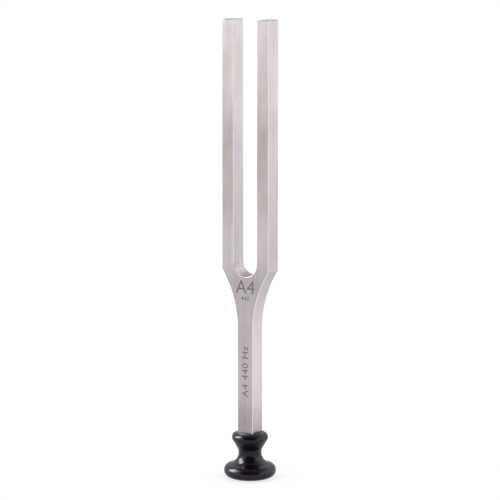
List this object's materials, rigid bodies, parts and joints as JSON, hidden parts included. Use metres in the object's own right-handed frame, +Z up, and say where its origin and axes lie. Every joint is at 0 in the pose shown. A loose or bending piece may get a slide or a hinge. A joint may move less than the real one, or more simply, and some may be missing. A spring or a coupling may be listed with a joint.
{
  "type": "tuning fork",
  "caption": "Upright two-tined steel tuning fork with a round-bottomed slot, hollow-flanked yoke and rectangular stem, on a waisted round black plastic foot.",
  "frame": {"origin": "centre of the foot's flat underside, on the surface the fork stands on", "axes": "+Z up along the stem and tines, X across the two tines, -Y out of the marked front face"},
  "size_m": [0.02, 0.0196, 0.1715],
  "materials": {
    "steel": "satin, ground along its length, edges broken bright",
    "foot_plastic": "glossy black moulding",
    "brass": "turned and knurled"
  },
  "bodies": {
    "root": {"fork": "steel", "foot": "foot_plastic", "threaded_insert": "brass"}
  },
  "joints": []
}
